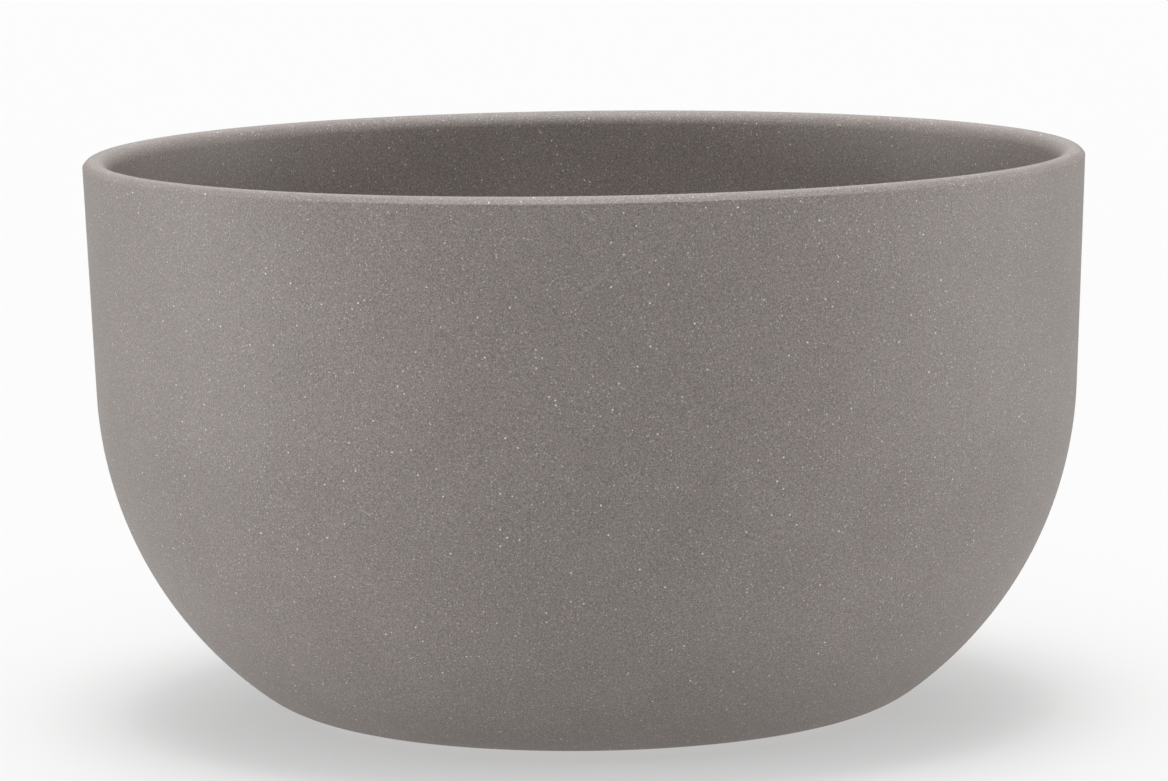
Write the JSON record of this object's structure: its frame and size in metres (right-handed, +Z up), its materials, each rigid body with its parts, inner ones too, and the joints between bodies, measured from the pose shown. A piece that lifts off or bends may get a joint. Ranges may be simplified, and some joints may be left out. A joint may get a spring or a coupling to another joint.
{
  "type": "ceramic bowl planter",
  "caption": "Wide round stoneware bowl planter with near-upright walls, a rounded foot, a lift-out rubber drain plug in its floor and rubber pads under its foot ring.",
  "frame": {"origin": "on the floor, under the middle of the bowl", "axes": "+Z up along the bowl's axis; +X to the right and +Y away, seen from the front"},
  "size_m": [0.36, 0.36, 0.2025],
  "materials": {
    "stoneware_glaze": "matt warm grey glaze with fine pale flecks, inside and out",
    "plug_rubber": "moulded matt dark grey rubber",
    "pad_rubber": "die-cut matt black rubber"
  },
  "bodies": {
    "planter": {"bowl": "stoneware_glaze", "foot_pad_1": "pad_rubber", "foot_pad_2": "pad_rubber", "foot_pad_3": "pad_rubber", "foot_pad_4": "pad_rubber"},
    "plug": {"drain_plug": "plug_rubber"}
  },
  "joints": [
    {"name": "drain_plug_lift", "type": "slide", "parent": "planter", "child": "plug", "axis": [0, 0, 1], "range_m": [0, 0.22]}
  ]
}
